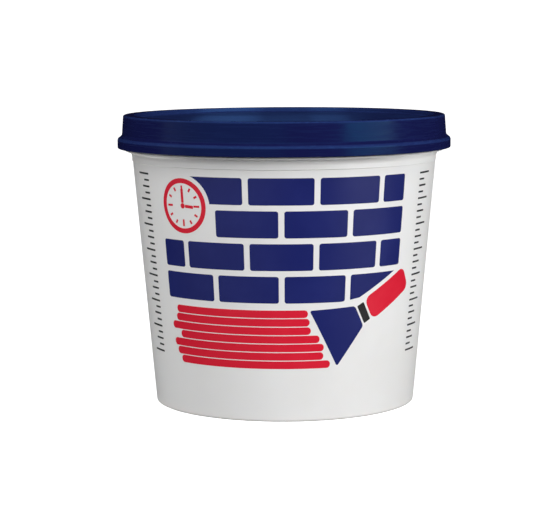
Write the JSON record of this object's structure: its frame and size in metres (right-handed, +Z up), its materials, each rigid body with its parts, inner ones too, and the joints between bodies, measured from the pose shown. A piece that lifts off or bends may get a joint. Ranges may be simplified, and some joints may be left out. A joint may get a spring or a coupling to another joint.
{
  "type": "wall filler tub",
  "caption": "Round tapered plastic tub of ready-mixed wall filler with a raised foot ring, a flanged rim and a press-on lid that lifts off.",
  "frame": {"origin": "middle of the foot ring, on the surface that the tub stands on", "axes": "+Z up along the tub's axis; -Y is the printed front"},
  "size_m": [0.1332, 0.1332, 0.115],
  "materials": {
    "tub_plastic": "satin moulded white plastic with ink printed on its wall",
    "lid_plastic": "glossy moulded dark blue plastic",
    "filler_paste": "soft matt white paste"
  },
  "bodies": {
    "tub": {"tub": "tub_plastic", "filler": "filler_paste"},
    "lid": {"lid": "lid_plastic"}
  },
  "joints": [
    {"name": "lid_lift", "type": "slide", "parent": "tub", "child": "lid", "axis": [0, 0, 1], "range_m": [0, 0.06]}
  ]
}
